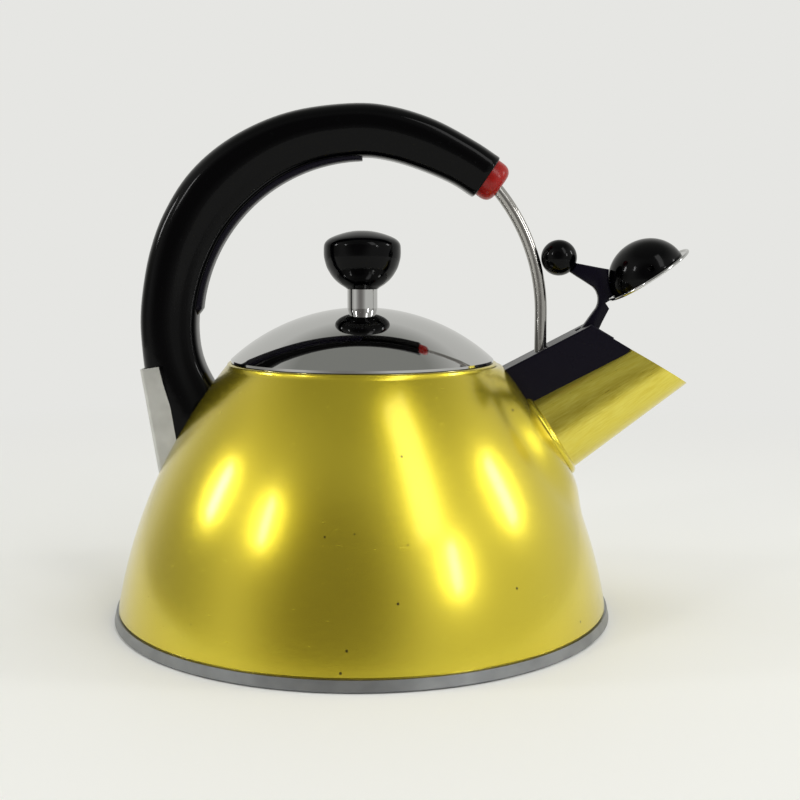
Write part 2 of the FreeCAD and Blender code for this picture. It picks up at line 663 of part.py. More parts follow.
def leaving_inset(turn, x, z):
    """Radius of the arc that goes on smoothly from the underside's arc at turn and ends at (x, z)."""
    start_x, start_z = on_inset(INSET_ARC, turn)
    across = "(%s - %s)" % (x, start_x)
    up = "(%s - %s)" % (z, start_z)
    inward = "(%s * cos(%s) - %s * sin(%s))" % (across, turn, up, turn)
    return "(%s ^ 2 + %s ^ 2) / (2 * %s)" % (across, up, inward)


def handle_outline():
    """The handle's back, front end and underside; its tail and foot are inside the body."""
    back = "(%s)" % back_arc()
    return [
        ("dim.top_x - %s * cos(dim.tail_turn)" % back,
         f"{TOP_Z} - %s - %s * sin(dim.tail_turn)" % (back, back)),
        ("dim.top_x", TOP_Z),
        end_corner(1),
        end_corner(-1),
        on_inset(INSET_ARC, "dim.toe_turn"),
        on_inset(INSET_ARC, "dim.heel_turn"),
        (FOOT_X, FOOT_Z),
    ]


def handle_arcs():
    return {0: (back_arc(), -1),
            1: (level_arc(*end_corner(1)), -1),
            3: (leaving_inset("dim.toe_turn", *end_corner(-1)), 1),
            4: (INSET_ARC, 1),
            5: (leaving_inset("dim.heel_turn", FOOT_X, FOOT_Z), 1)}


def inset_band(name, inner, outer, width, ends="0"):
    """A curved bar along the handle's underside, between two arcs and shortened by ends degrees."""
    heel = "dim.heel_turn + (%s)" % ends
    toe = "dim.toe_turn - (%s)" % ends
    corners = [on_inset(inner, heel), on_inset(inner, toe), on_inset(outer, toe), on_inset(outer, heel)]
    return slab(name, corners, width, {0: (inner, -1), 2: (outer, 1)})


def bracket_sheet(name, inset, width):
    """Side outline of the bracket, inset from its back, as a slab."""
    lean = "dim.bracket_lean"
    down = "dim.bracket_length"
    back_x = f"({BRACKET_TOP_X} + (%s) * cos(%s))" % (inset, lean)
    back_z = f"({BRACKET_TOP_Z} + (%s) * sin(%s))" % (inset, lean)
    depth = "(dim.bracket_depth - (%s))" % inset
    slide_x = "%s * sin(%s)" % (down, lean)
    slide_z = "%s * cos(%s)" % (down, lean)
    corners = [
        (back_x, back_z),
        ("%s + %s * cos(%s)" % (back_x, depth, lean), "%s + %s * sin(%s)" % (back_z, depth, lean)),
        ("%s + %s * cos(%s) + %s" % (back_x, depth, lean, slide_x),
         "%s + %s * sin(%s) - %s" % (back_z, depth, lean, slide_z)),
        ("%s + %s" % (back_x, slide_x), "%s - %s" % (back_z, slide_z)),
    ]
    return slab(name, corners, width)


def on_back(edge):
    """True for the bracket's two folded edges."""
    box = edge.BoundBox
    upright = box.ZLength > 3 * box.XLength
    return box.YLength < 0.001 and upright and box.XMin < value(f"{BRACKET_TOP_X} + dim.bracket_sheet")


def across_back(item, sink):
    """Place an upright piece square to the bracket's back, sunk into it by sink."""
    lean = "dim.bracket_lean"
    along = f"{BRACKET_TOP_X} + dim.screw_drop * sin(%s) + (%s) * cos(%s)" % (lean, sink, lean)
    up = f"{BRACKET_TOP_Z} - dim.screw_drop * cos(%s) + (%s) * sin(%s)" % (lean, sink, lean)
    return place(item, along, up, "90 - " + lean)


def handle_screw_form(name):
    head = cone(name + "_head", "dim.screw_head", "dim.screw_radius", "dim.screw_radius")
    shank = cylinder(name + "_shank", "dim.screw_radius", "dim.screw_length")
    return fuse(name, across_back(head, "0"), across_back(shank, "0"))


def handle_nut_form(name):
    body = cylinder(name, "dim.nut_radius", "dim.screw_length - dim.bracket_depth / 2")
    return across_back(body, "dim.bracket_depth / 2")


def handle():
    sheet = bracket_sheet("bracket_form", "0", "dim.handle_width")
    soften(sheet, "bracket_folds", "dim.bracket_round", on_back)
    inside = "dim.handle_width - 2 * dim.bracket_sheet"
    channel = bracket_sheet("bracket_channel", "dim.bracket_sheet", inside)
    bracket = cut("handle_bracket_cut", sheet, channel, body_form, handle_screw_form("screw_in_bracket"))
    keep("handle_bracket", bracket)

    form = slab("handle_form", handle_outline(), "dim.handle_width", handle_arcs())
    soften(form, "handle_edges", "dim.handle_round", curved_on_sides)
    core = inset_band("handle_core", f"{INSET_ARC} - dim.strip_sink", f"{INSET_ARC} + dim.core_depth",
                      "dim.strip_width")
    tongue = bracket_sheet("handle_tongue", "dim.bracket_sheet", inside)
    whole = fuse("handle_with_tongue", form, tongue)
    keep("handle_grip", cut("handle_grip_cut", whole, body_form, bracket, core,
                            rod_form("rod_in_handle", "dim.rod_seat"),
                            handle_screw_form("screw_in_handle"), handle_nut_form("nut_in_handle")))
    strip = inset_band("grip_insert_form", f"{INSET_ARC} - dim.strip_proud", f"{INSET_ARC} + dim.strip_sink",
                       "dim.strip_width")
    keep("grip_insert", strip)
    keep("handle_screw", handle_screw_form("handle_screw_steel"))
    keep("handle_nut", cut("handle_nut_cut", handle_nut_form("handle_nut_brass"),
                           handle_screw_form("screw_in_nut")))


def end_cap():
    form = turned("end_cap_form", [
        ("0", "0"),
        ("dim.cap_radius", "0"),
        ("dim.cap_radius", "dim.cap_skirt"),
        ("dim.cap_nose", "dim.cap_length"),
        ("0", "dim.cap_length"),
    ], {2: ("dim.cap_round", 1)})
    place(form, END_X, END_Z, "90 + dim.end_lean")
    keep("end_cap", cut("end_cap_cut", form, rod_form("rod_in_cap", "dim.rod_seat")))


# ---- whistle -------------------------------------------------------------------------------

def with_whistle(item, reach="0", lift="0"):
    """Place a piece in the open whistle's frame: reach along its plate, lift square to it."""
    along = f"{PIVOT_X} + (%s) * cos(dim.open_tilt) - (%s) * sin(dim.open_tilt)" % (reach, lift)
    up = f"{PIVOT_Z} + (%s) * sin(dim.open_tilt) + (%s) * cos(dim.open_tilt)" % (reach, lift)
    return place(item, along, up, "0 - dim.open_tilt")


def lever_outline():
    """Side of the lever from its boss up the stem, to the cover, the ball and back round the fork."""
    top_of_plate = "dim.disc_lift + dim.disc_sheet"
    return [
        ("0 - dim.boss_radius * cos(dim.boss_turn)", "dim.boss_radius * sin(dim.boss_turn)"),
        ("dim.boss_radius * cos(dim.boss_turn)", "0 - dim.boss_radius * sin(dim.boss_turn)"),
        ("dim.stem_x", "dim.stem_z"),
        ("dim.heel_x", "dim.heel_z"),
        ("dim.heel_x", top_of_plate),
        ("dim.arm_end", top_of_plate),
        ("dim.arm_end", "dim.cover_radius"),
        (f"{BALL_REACH} + dim.arm_front_x", f"{BALL_LIFT} - dim.arm_front_z"),
        (f"{BALL_REACH} - dim.arm_back_x", f"{BALL_LIFT} - dim.arm_back_z"),
        ("dim.crotch_x", "dim.crotch_z"),
        ("dim.neck_x", "dim.neck_z"),
    ]


def lever():
    form = slab("lever_form", lever_outline(), "dim.lever_width", {9: ("dim.crotch_arc", -1)})
    with_whistle(form)
    boss = crosswise("lever_boss", "dim.boss_radius", "dim.lever_width", PIVOT_X, PIVOT_Z)
    bore = crosswise("lever_bore", "dim.pin_radius + dim.running_fit", "2 * dim.lever_width",
                     PIVOT_X, PIVOT_Z)
    ball = with_whistle(solid("Sphere", "ball_in_lever", Radius="dim.ball_radius"), BALL_REACH,
                        BALL_LIFT)
    cover = with_whistle(solid("Sphere", "cover_in_lever", Radius="dim.cover_radius"), "dim.disc_reach",
                         "dim.disc_lift + dim.disc_sheet")
    plate = cylinder("plate_in_lever", "dim.disc_radius", "dim.disc_sheet + dim.disc_lip")
    with_whistle(plate, "dim.disc_reach", "dim.disc_lift")
    arm = fuse("lever_arm_form", form, boss)
    keep("whistle_lever", cut("whistle_lever_cut", arm, bore, ball, cover, plate))
    knob = solid("Sphere", "thumb_ball_form", Radius="dim.ball_radius")
    keep("thumb_ball", with_whistle(knob, BALL_REACH, BALL_LIFT))


def whistle():
    rim = "dim.disc_radius"
    plate = turned("whistle_plate_form", [
        ("dim.disc_hole", "0"),
        (rim, "0"),
        (rim, "dim.disc_sheet + dim.disc_lip"),
        (rim + " - dim.disc_sheet", "dim.disc_sheet + dim.disc_lip"),
        (rim + " - dim.disc_sheet", "dim.disc_sheet"),
        ("dim.disc_hole", "dim.disc_sheet"),
    ])
    keep("whistle_plate", with_whistle(plate, "dim.disc_reach", "dim.disc_lift"))

    wall = "dim.cup_radius - dim.cup_sheet"
    top = "dim.cup_depth - dim.cup_sheet"
    cup = turned("whistle_cup_form", [
        ("dim.cup_hole", top),
        (wall, top),
        (wall, "0"),
        ("dim.cup_radius + 2 * dim.cup_sheet", "0"),
        ("dim.cup_radius + 2 * dim.cup_sheet", "dim.cup_sheet"),
        ("dim.cup_radius", "dim.cup_sheet"),
        ("dim.cup_radius", "dim.cup_depth"),
        ("dim.cup_hole", "dim.cup_depth"),
    ])
    keep("whistle_cup", with_whistle(cup, "dim.disc_reach", "dim.disc_lift + dim.disc_sheet"))

    inner = "dim.cover_radius - dim.cover_wall"
    cover = turned("whistle_cover_form", [
        (inner, "0"),
        ("dim.cover_radius", "0"),
        ("0", "dim.cover_radius"),
        ("0", inner),
    ], {1: ("dim.cover_radius", 1), 3: (inner, -1)})
    with_whistle(cover, "dim.disc_reach", "dim.disc_lift + dim.disc_sheet")
    vents = crosswise("whistle_vents", "dim.vent_radius", "2 * dim.cover_radius",
                      f"{PIVOT_X} + dim.disc_reach * cos(dim.open_tilt)"
                      " - (dim.disc_lift + dim.disc_sheet + dim.vent_lift) * sin(dim.open_tilt)",
                      f"{PIVOT_Z} + dim.disc_reach * sin(dim.open_tilt)"
                      " + (dim.disc_lift + dim.disc_sheet + dim.vent_lift) * cos(dim.open_tilt)")
    keep("whistle_cover", cut("whistle_cover_cut", cover, vents))


def hinge():
    pin = crosswise("pin_steel", "dim.pin_radius", pin_length(), PIVOT_X, PIVOT_Z,
                    "dim.pin_cover / 2")
    keep("hinge_pin", pin)
    group = doc.addObject("Part::Compound", "washer_group")
    rings = []
    for side in (-1, 1):
        offset = "%d * (dim.lever_width / 2 + dim.slot_play + dim.washer_width / 2)" % side
        disc = crosswise("washer_disc_%d" % (side + 1), "dim.boss_radius", "dim.washer_width", PIVOT_X,
                         PIVOT_Z, offset)
        hole = crosswise("washer_hole_%d" % (side + 1), "dim.pin_radius", "2 * dim.washer_width", PIVOT_X,
                         PIVOT_Z, offset)
        rings.append(cut("friction_washer_%d" % (side + 1), disc, hole))
    group.Links = rings
    keep("friction_washers", group)


# ---- lid -----------------------------------------------------------------------------------

LID_FOOT = "(dim.mouth_height + dim.lid_gap)"
LID_ARC = f"(({LID_RADIUS} ^ 2 + dim.lid_rise ^ 2) / (2 * dim.lid_rise))"
LID_TOP = "(%s + dim.lid_edge + dim.lid_rise - (%s - sqrt(%s ^ 2 - dim.lid_flat ^ 2)))" % (
    LID_FOOT, LID_ARC, LID_ARC)


def lid():
    under_top = "%s - dim.lid_sheet" % LID_TOP
    inner_edge = f"{LID_RADIUS} - dim.lid_sheet"
    shell = turned("lid_form", [
        ("dim.screw_radius + dim.running_fit", LID_TOP),
        ("dim.lid_flat", LID_TOP),
        (LID_RADIUS, LID_FOOT + " + dim.lid_edge"),
        (LID_RADIUS, LID_FOOT),
        (inner_edge, LID_FOOT),
        (inner_edge, LID_FOOT + " + dim.lid_edge"),
        ("dim.lid_flat", under_top),
        ("dim.screw_radius + dim.running_fit", under_top),
    ], {1: (LID_ARC, -1), 5: (LID_ARC, 1)})
    keep("lid_dome", shell)

    outer = "(dim.mouth_radius - dim.skirt_play)"
    foot = "(dim.mouth_height - dim.skirt_depth)"
    skirt = turned("lid_skirt_form", [
        (outer + " - dim.skirt_sheet", foot),
        (outer, foot),
        (outer, LID_FOOT),
        (outer + " + dim.skirt_flange", LID_FOOT),
        (outer + " + dim.skirt_flange", LID_FOOT + " + dim.skirt_sheet"),
        (outer + " - dim.skirt_sheet", LID_FOOT + " + dim.skirt_sheet"),
    ])
    keep("lid_skirt", skirt)


def lid_knob():
    foot = "(%s + dim.ferrule_height)" % LID_TOP
    ferrule = turned("ferrule_form", [
        ("dim.ferrule_radius - dim.ferrule_wall", LID_TOP),
        ("dim.ferrule_radius", LID_TOP),
        ("dim.ferrule_radius", foot),
        ("dim.ferrule_radius - dim.ferrule_wall", foot),
    ])
    keep("knob_ferrule", ferrule)

    knob = turned("knob_form", [
        ("0", foot),
        ("dim.knob_foot", foot),
        ("dim.knob_radius", foot + " + dim.knob_waist"),
        ("dim.knob_shoulder", foot + " + dim.knob_height - dim.knob_crown"),
        ("0", foot + " + dim.knob_height"),
    ], {1: ("dim.knob_belly", 1), 2: ("dim.knob_edge", 1),
        3: ("(dim.knob_shoulder ^ 2 + dim.knob_crown ^ 2) / (2 * dim.knob_crown)", 1)})
    pocket = place(cylinder("knob_pocket", "dim.nut_radius", "dim.knob_insert"), up=foot)
    shank_hole = place(cylinder("knob_shank_hole", "dim.screw_radius", "dim.knob_insert + dim.thread_room"),
                       up=foot)
    keep("lid_knob", cut("lid_knob_cut", knob, pocket, shank_hole))
    sleeve = place(cylinder("knob_insert_brass", "dim.nut_radius", "dim.knob_insert"), up=foot)
    thread = place(cylinder("knob_thread", "dim.screw_radius", "2 * dim.knob_insert"), up=LID_TOP)
    keep("knob_insert", cut("knob_insert_cut", sleeve, thread))

    under = "(%s - dim.lid_sheet)" % LID_TOP
    disc = cylinder("knob_washer_disc", "dim.washer_radius", "dim.washer_sheet")
    place(disc, up=under + " - dim.washer_sheet")
    hole = place(cylinder("knob_washer_hole", "dim.screw_radius", "4 * dim.washer_sheet"),
                 up=under + " - 2 * dim.washer_sheet")
    keep("knob_washer", cut("knob_washer_cut", disc, hole))
    seat = "(%s - dim.washer_sheet)" % under
    head = place(cylinder("knob_screw_head", "dim.screw_head", "dim.screw_radius"),
                 up=seat + " - dim.screw_radius")
    reach = "dim.washer_sheet + dim.lid_sheet + dim.ferrule_height + dim.knob_insert"
    shank = place(cylinder("knob_screw_shank", "dim.screw_radius", reach), up=seat)
    keep("knob_screw", fuse("knob_screw_steel", head, shank))


def check(items):
    """Stop before anything is written if a feature failed or a sub-part isn't a valid solid."""
    for item in items:
        if "Invalid" in item.State or "Error" in item.State:
            raise RuntimeError("%s did not build: %s" % (item.Name, item.State))
    for label, item in subparts.items():
        shape = item.Shape
        if shape.isNull() or not shape.isValid() or not shape.Solids:
            raise RuntimeError(label + " is not a valid solid")


def main():
    body_shell()
    base()
    spout()
    spout_block()
    block_screws()
    rod()
    handle()
    end_cap()
    lever()
    whistle()
    hinge()
    lid()
    lid_knob()
    doc.recompute()
    check(doc.Objects)
    os.makedirs("parts", exist_ok=True)
    for label, item in subparts.items():
        item.Shape.exportStep("parts/%s.step" % label)
        solids = item.Shape.Solids
        print("%-18s %d solid(s) %9.1f mm3" % (label, len(solids), sum(part.Volume for part in solids)))


main()
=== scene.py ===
import json
import math

import bmesh
import bpy
from mathutils import Euler, Matrix, Vector


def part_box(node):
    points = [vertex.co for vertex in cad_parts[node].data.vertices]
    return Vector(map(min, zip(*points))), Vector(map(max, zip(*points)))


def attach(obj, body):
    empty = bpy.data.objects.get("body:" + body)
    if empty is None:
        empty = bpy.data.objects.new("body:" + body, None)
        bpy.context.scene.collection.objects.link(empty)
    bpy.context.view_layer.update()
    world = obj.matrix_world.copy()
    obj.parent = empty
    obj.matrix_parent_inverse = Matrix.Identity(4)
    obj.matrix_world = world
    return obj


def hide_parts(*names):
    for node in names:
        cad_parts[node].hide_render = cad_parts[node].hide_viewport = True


# Stovetop whistling kettle: lacquered steel body, mirror-polished lid, phenolic handle and knob.
# Everything is in metres, in the kettle's own frame: +Z up, +X from handle to spout.

MM = 0.001

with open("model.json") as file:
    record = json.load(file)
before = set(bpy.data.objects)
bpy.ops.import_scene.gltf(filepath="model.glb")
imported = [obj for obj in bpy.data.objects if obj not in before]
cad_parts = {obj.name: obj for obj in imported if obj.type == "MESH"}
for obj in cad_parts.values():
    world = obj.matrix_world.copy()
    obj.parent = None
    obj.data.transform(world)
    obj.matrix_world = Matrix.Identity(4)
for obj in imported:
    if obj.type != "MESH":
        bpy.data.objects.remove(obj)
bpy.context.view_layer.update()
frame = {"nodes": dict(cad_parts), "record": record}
NODES = frame["nodes"]


# ---- colours and node helpers --------------------------------------------------------------

def linear(code):
    """An sRGB hex colour as linear RGBA."""
    parts = [int(code[i:i + 2], 16) / 255 for i in (1, 3, 5)]
    return [c / 12.92 if c <= 0.04045 else ((c + 0.055) / 1.055) ** 2.4 for c in parts] + [1.0]


def add(tree, kind, links=None, **settings):
    """A node of that kind: links maps its inputs to sockets or values, settings are its properties."""
    node = tree.nodes.new("ShaderNode" + kind)
    for name, setting in settings.items():
        setattr(node, name, setting)
    for name, source in (links or {}).items():
        if isinstance(source, bpy.types.NodeSocket):
            tree.links.new(source, node.inputs[name])
        else:
            node.inputs[name].default_value = source
    return node


def new_material(name, **values):
    """A material with one Principled shader, whose sockets take the values given."""
    material = bpy.data.materials.new(name)
    material.use_nodes = True
    tree = material.node_tree
    shader = tree.nodes["Principled BSDF"]
    for socket, setting in values.items():
        shader.inputs[socket.replace("_", " ")].default_value = setting
    return material, tree, shader


def object_point(tree, scale=(1, 1, 1), turn=(0, 0, 0)):
    """Object coordinates in metres, turned and then stretched by scale."""
    place = add(tree, "TexCoord")
    turned = add(tree, "Mapping", {"Vector": place.outputs["Object"], "Rotation": turn})
    stretched = add(tree, "Mapping", {"Vector": turned.outputs["Vector"], "Scale": scale})
    return stretched.outputs["Vector"]


def noise(tree, vector, spacing, detail=2.0, rough=0.5):
    """Noise whose lumps are about spacing metres apart."""
    node = add(tree, "TexNoise", {"Vector": vector, "Scale": 1 / spacing, "Detail": detail,
                                  "Roughness": rough})
    return node.outputs["Fac"]


def span(tree, fac, low, high, start=0.0, end=1.0):
    """Map fac from start..end to low..high."""
    node = add(tree, "MapRange", {"Value": fac, "From Min": start, "From Max": end, "To Min": low,
                                  "To Max": high})
    return node.outputs["Result"]


def blend_colours(tree, fac, first, second):
    node = add(tree, "Mix", data_type="RGBA")
    tree.links.new(fac, node.inputs["Factor"])
    for socket, colour in ((node.inputs["A"], first), (node.inputs["B"], second)):
        if isinstance(colour, bpy.types.NodeSocket):
            tree.links.new(colour, socket)
        else:
            socket.default_value = colour
    return node.outputs["Result"]


def relief(tree, shader, height, depth):
    """Bump of that depth in metres from height, on the shader."""
    bump = add(tree, "Bump", {"Height": height, "Distance": depth, "Strength": 1.0})
    tree.links.new(bump.outputs["Normal"], shader.inputs["Normal"])
    return bump


# ---- finishes ------------------------------------------------------------------------------

def lacquered_steel():
    """Clear yellow lacquer over satin steel: soft metal glow under a sharp clear coat, with pinholes."""
    material, tree, shader = new_material(
        "yellow_lacquered_steel", Metallic=0.92, Roughness=0.25, Coat_Weight=0.7, Coat_Roughness=0.13,
        Coat_IOR=1.42, Anisotropic=0.4)
    point = object_point(tree)
    along = add(tree, "Tangent", direction_type="RADIAL", axis="Z")
    tree.links.new(along.outputs["Tangent"], shader.inputs["Tangent"])
    # slow drift of lacquer thickness, tens of millimetres across
    drift = noise(tree, point, 0.09)
    colour = blend_colours(tree, span(tree, drift, 0, 1, 0.3, 0.7), linear("#D8C42E"), linear("#E0CE39"))
    # turning marks of the pressed shell, drawn 0.5 mm apart so that they can be seen
    rings = noise(tree, object_point(tree, (0.12, 0.12, 1)), 0.0006, 3.0)
    # pinholes and scuffs, a millimetre or less, far apart
    pits = add(tree, "TexVoronoi", {"Vector": point, "Scale": 1 / 0.011, "Randomness": 1.0})
    few = noise(tree, point, 0.03, 1.0)
    size = span(tree, few, 0.0, 0.05, 0.44, 0.6)
    pit = add(tree, "Math", {0: pits.outputs["Distance"], 1: size}, operation="LESS_THAN")
    colour = blend_colours(tree, pit.outputs["Value"], colour, linear("#5E5012"))
    tree.links.new(colour, shader.inputs["Base Color"])
    tree.links.new(span(tree, rings, 0.2, 0.3), shader.inputs["Roughness"])
    relief(tree, shader, rings, 0.0000015)
    return material


def brushed_lacquer():
    """The same lacquer over steel brushed along the spout: fine streaks that carry the light."""
    material, tree, shader = new_material(
        "yellow_lacquer_on_brushed_steel", Metallic=0.92, Roughness=0.3, Coat_Weight=0.6,
        Coat_Roughness=0.12)
    grain = object_point(tree, (1, 1, 0.03), (0, math.radians(-57.2), 0))
    fine = noise(tree, grain, 0.0005, 3.0)
    broad = noise(tree, grain, 0.004, 2.0)
    colour = blend_colours(tree, span(tree, broad, 0, 1, 0.3, 0.7), linear("#D3C03A"), linear("#E0CF48"))
    tree.links.new(blend_colours(tree, span(tree, fine, 0, 1, 0.35, 0.7), colour, linear("#E6D95C")),
                   shader.inputs["Base Color"])
    tree.links.new(span(tree, fine, 0.22, 0.42), shader.inputs["Roughness"])
    relief(tree, shader, fine, 0.000012)
    return material


def polished_steel(name, shade, gloss, smear=0.02):
    """Mirror-polished stainless steel: near-perfect reflections with faint wipe marks."""
    material, tree, shader = new_material(name, Metallic=1.0, Roughness=gloss, Base_Color=linear(shade))
    wipe = noise(tree, object_point(tree, (1, 1, 2.5)), 0.012, 4.0, 0.6)
    tree.links.new(span(tree, wipe, gloss, gloss + smear, 0.4, 0.7), shader.inputs["Roughness"])
    dents = noise(tree, object_point(tree), 0.03, 1.0)
    relief(tree, shader, dents, 0.000012)
    return material


def brushed_steel(name, low, high, stretch, spacing=0.0005, roughness=(0.25, 0.42)):
    """Brushed stainless or zinc-plated steel: fine parallel grain, slightly smudged."""
    material, tree, shader = new_material(name, Metallic=1.0, Roughness=roughness[0])
    grain = noise(tree, object_point(tree, stretch), spacing, 3.0)
    smudge = noise(tree, object_point(tree), 0.01, 2.0)
    colour = blend_colours(tree, span(tree, smudge, 0, 1, 0.35, 0.65), linear(low), linear(high))
    tree.links.new(colour, shader.inputs["Base Color"])
    tree.links.new(span(tree, grain, *roughness, 0.3, 0.7), shader.inputs["Roughness"])
    relief(tree, shader, grain, 0.000008)
    return material


def phenolic(name, shade, roughness, spread, shine):
    """Black phenolic moulding: deep gloss with faint flow marks and a little dust."""
    material, tree, shader = new_material(name, Roughness=roughness, Base_Color=linear(shade),
                                          Specular_IOR_Level=shine)
    flow = noise(tree, object_point(tree), 0.02, 3.0, 0.6)
    tree.links.new(span(tree, flow, roughness, roughness + spread, 0.35, 0.7), shader.inputs["Roughness"])
    dust = noise(tree, object_point(tree), 0.0012, 2.0)
    colour = blend_colours(tree, span(tree, dust, 0, 0.1, 0.68, 0.8), linear(shade), linear("#3A3A3C"))
    tree.links.new(colour, shader.inputs["Base Color"])
    peel = noise(tree, object_point(tree), 0.004, 2.0)
    relief(tree, shader, peel, 0.00002)
    return material


def red_moulding():
    """Glossy red thermoplastic with a slight mottle, so that the small cap reads as moulded."""
    material, tree, shader = new_material("red_moulded_cap", Roughness=0.22, Specular_IOR_Level=0.35)
    mottle = noise(tree, object_point(tree), 0.005, 2.0)
    tree.links.new(blend_colours(tree, mottle, linear("#900A04"), linear("#A81009")),
                   shader.inputs["Base Color"])
    tree.links.new(span(tree, mottle, 0.18, 0.3), shader.inputs["Roughness"])
    relief(tree, shader, noise(tree, object_point(tree), 0.004), 0.000004)
    return material


FINISHES = {
    "yellow_lacquer": lacquered_steel(),
    "yellow_lacquer_brushed": brushed_lacquer(),
    "base_steel": brushed_steel("dull_base_steel", "#8C8E90", "#9A9C9E", (1, 1, 12), 0.002, (0.3, 0.42)),
    "aluminium_core": brushed_steel("rolled_aluminium", "#B8BABC", "#C6C8CA", (1, 8, 8)),
    "brushed_steel": brushed_steel("satin_bracket_steel", "#CBCBC6", "#DADAD5", (8, 8, 1), 0.0012, (0.32, 0.46)),
    "mirror_steel": polished_steel("mirror_polished_steel", "#C9C9C8", 0.03),
    "chromed_rod": polished_steel("drawn_steel_rod", "#A8A6A2", 0.12, 0.08),
    "plated_steel": brushed_steel("zinc_plated_steel", "#A6A7A9", "#B6B7B9", (1, 1, 1), 0.001),
    "brass": brushed_steel("turned_brass", "#C7A24E", "#D2B062", (1, 1, 8), 0.0008),
    "black_moulding": phenolic("gloss_black_phenolic", "#010102", 0.09, 0.05, 0.13),
    "black_moulding_satin": phenolic("satin_black_phenolic", "#0E0B18", 0.22, 0.08, 0.12),
    "red_plastic": red_moulding(),
}

SLOT_OF = {part["node"]: part["material_slot"] for part in frame["record"]["subparts"]}


def dress(piece, slot):
    piece.data.materials.clear()
    piece.data.materials.append(FINISHES[slot])


for node_name, node in NODES.items():
    dress(node, SLOT_OF[node_name])


# ---- mesh helpers --------------------------------------------------------------------------

def new_piece(name, vertices, faces, slot, body, replaced=None, smooth=math.radians(40)):
    """A mesh piece that rides on a CAD body and takes its finish from a slot of the record."""
    mesh = bpy.data.meshes.new(name)
    mesh.from_pydata([tuple(v) for v in vertices], [], faces)
    form = bmesh.new()
    form.from_mesh(mesh)
    bmesh.ops.remove_doubles(form, verts=form.verts, dist=1e-7)
    bmesh.ops.recalc_face_normals(form, faces=form.faces)
    form.to_mesh(mesh)
    form.free()
    mesh.shade_smooth()
    mesh.set_sharp_from_angle(angle=smooth)
    piece = bpy.data.objects.new(name, mesh)
    bpy.context.scene.collection.objects.link(piece)
    dress(piece, slot)
    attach(piece, body)
    if replaced:
        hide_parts(replaced)
    return piece


def lathe(profile, steps=192):
    """Vertices and faces of a closed profile of (radius, height) in millimetres, turned about Z."""
    vertices, faces = [], []
    count = len(profile)
    for step in range(steps):
        turn = 2 * math.pi * step / steps
        for radius, height in profile:
            vertices.append(Vector((radius * math.cos(turn), radius * math.sin(turn), height)) * MM)
    for step in range(steps):
        here, after = step * count, (step + 1) % steps * count
        for k in range(count):
            m = (k + 1) % count
            on_axis = profile[k][0] == 0, profile[m][0] == 0
            if all(on_axis):
                continue
            corners = [here + k, after + k, after + m, here + m]
            if on_axis[0]:
                corners.remove(after + k)
            if on_axis[1]:
                corners.remove(after + m)
            faces.append(corners)
    return vertices, faces


def arc(centre, radius, start, end, steps):
    """Points of an arc in degrees, both ends included."""
    turns = [math.radians(start + (end - start) * k / steps) for k in range(steps + 1)]
    return [(centre[0] + radius * math.cos(a), centre[1] + radius * math.sin(a)) for a in turns]


def spline(points, steps):
    """Smooth line through points, steps pieces to each stretch."""
    ends = [points[0] * 2 - points[1]] + list(points) + [points[-1] * 2 - points[-2]]
    line = []
    for k in range(1, len(ends) - 2):
        p, q, r, t = ends[k - 1:k + 3]
        for step in range(steps):
            u = step / steps
            line.append(0.5 * ((2 * q) + (r - p) * u + (2 * p - 5 * q + 4 * r - t) * u ** 2
                               + (3 * q - p - 3 * r + t) * u ** 3))
    return line + [points[-1].copy()]


def loft(rings):
    """Vertices and faces of a skin over closed rings of equal length, capped at both ends."""
    count = len(rings[0])
    vertices = [v for ring in rings for v in ring]
    faces = [list(range(count))[::-1], [len(vertices) - count + k for k in range(count)]]
    for row in range(len(rings) - 1):
        for k in range(count):
            m = (k + 1) % count
            faces.append([row * count + k, row * count + m, (row + 1) * count + m, (row + 1) * count + k])
    return vertices, faces


def carve(piece, vertices, faces):
    """Take a closed form out of a piece."""
    mesh = bpy.data.meshes.new("cutter")
    mesh.from_pydata([tuple(v) for v in vertices], [], faces)
    form = bmesh.new()
    form.from_mesh(mesh)
    bmesh.ops.remove_doubles(form, verts=form.verts, dist=1e-7)
    bmesh.ops.recalc_face_normals(form, faces=form.faces)
    form.to_mesh(mesh)
    form.free()
    cutter = bpy.data.objects.new("cutter", mesh)
    bpy.context.scene.collection.objects.link(cutter)
    trim = piece.modifiers.new("trim", "BOOLEAN")
    trim.object, trim.operation, trim.solver = cutter, "DIFFERENCE", "EXACT"
    bpy.context.view_layer.update()
    graph = bpy.context.evaluated_depsgraph_get()
    result = bpy.data.meshes.new_from_object(piece.evaluated_get(graph))
    piece.modifiers.clear()
    piece.data = result
    bpy.data.objects.remove(cutter)


# ---- body ----------------------------------------------------------------------------------

SPOUT_TILT = math.radians(32.8)
FLAT_OUT = 110.1          # the spout's flat from the middle of the base, square to it
FLAT_MIDDLE = 26.5        # centre of the flat along its slope
FLAT_EDGE, FLAT_FADE = 20.0, 46.0   # where the flat starts to run out, and where the dome is whole
OUT_OF_FLAT = Vector((math.cos(SPOUT_TILT), 0, math.sin(SPOUT_TILT)))
UP_FLAT = Vector((-math.sin(SPOUT_TILT), 0, math.cos(SPOUT_TILT)))


def ease(u):
    u = min(max(u, 0.0), 1.0)
    return u * u * u * (u * (6 * u - 15) + 10)


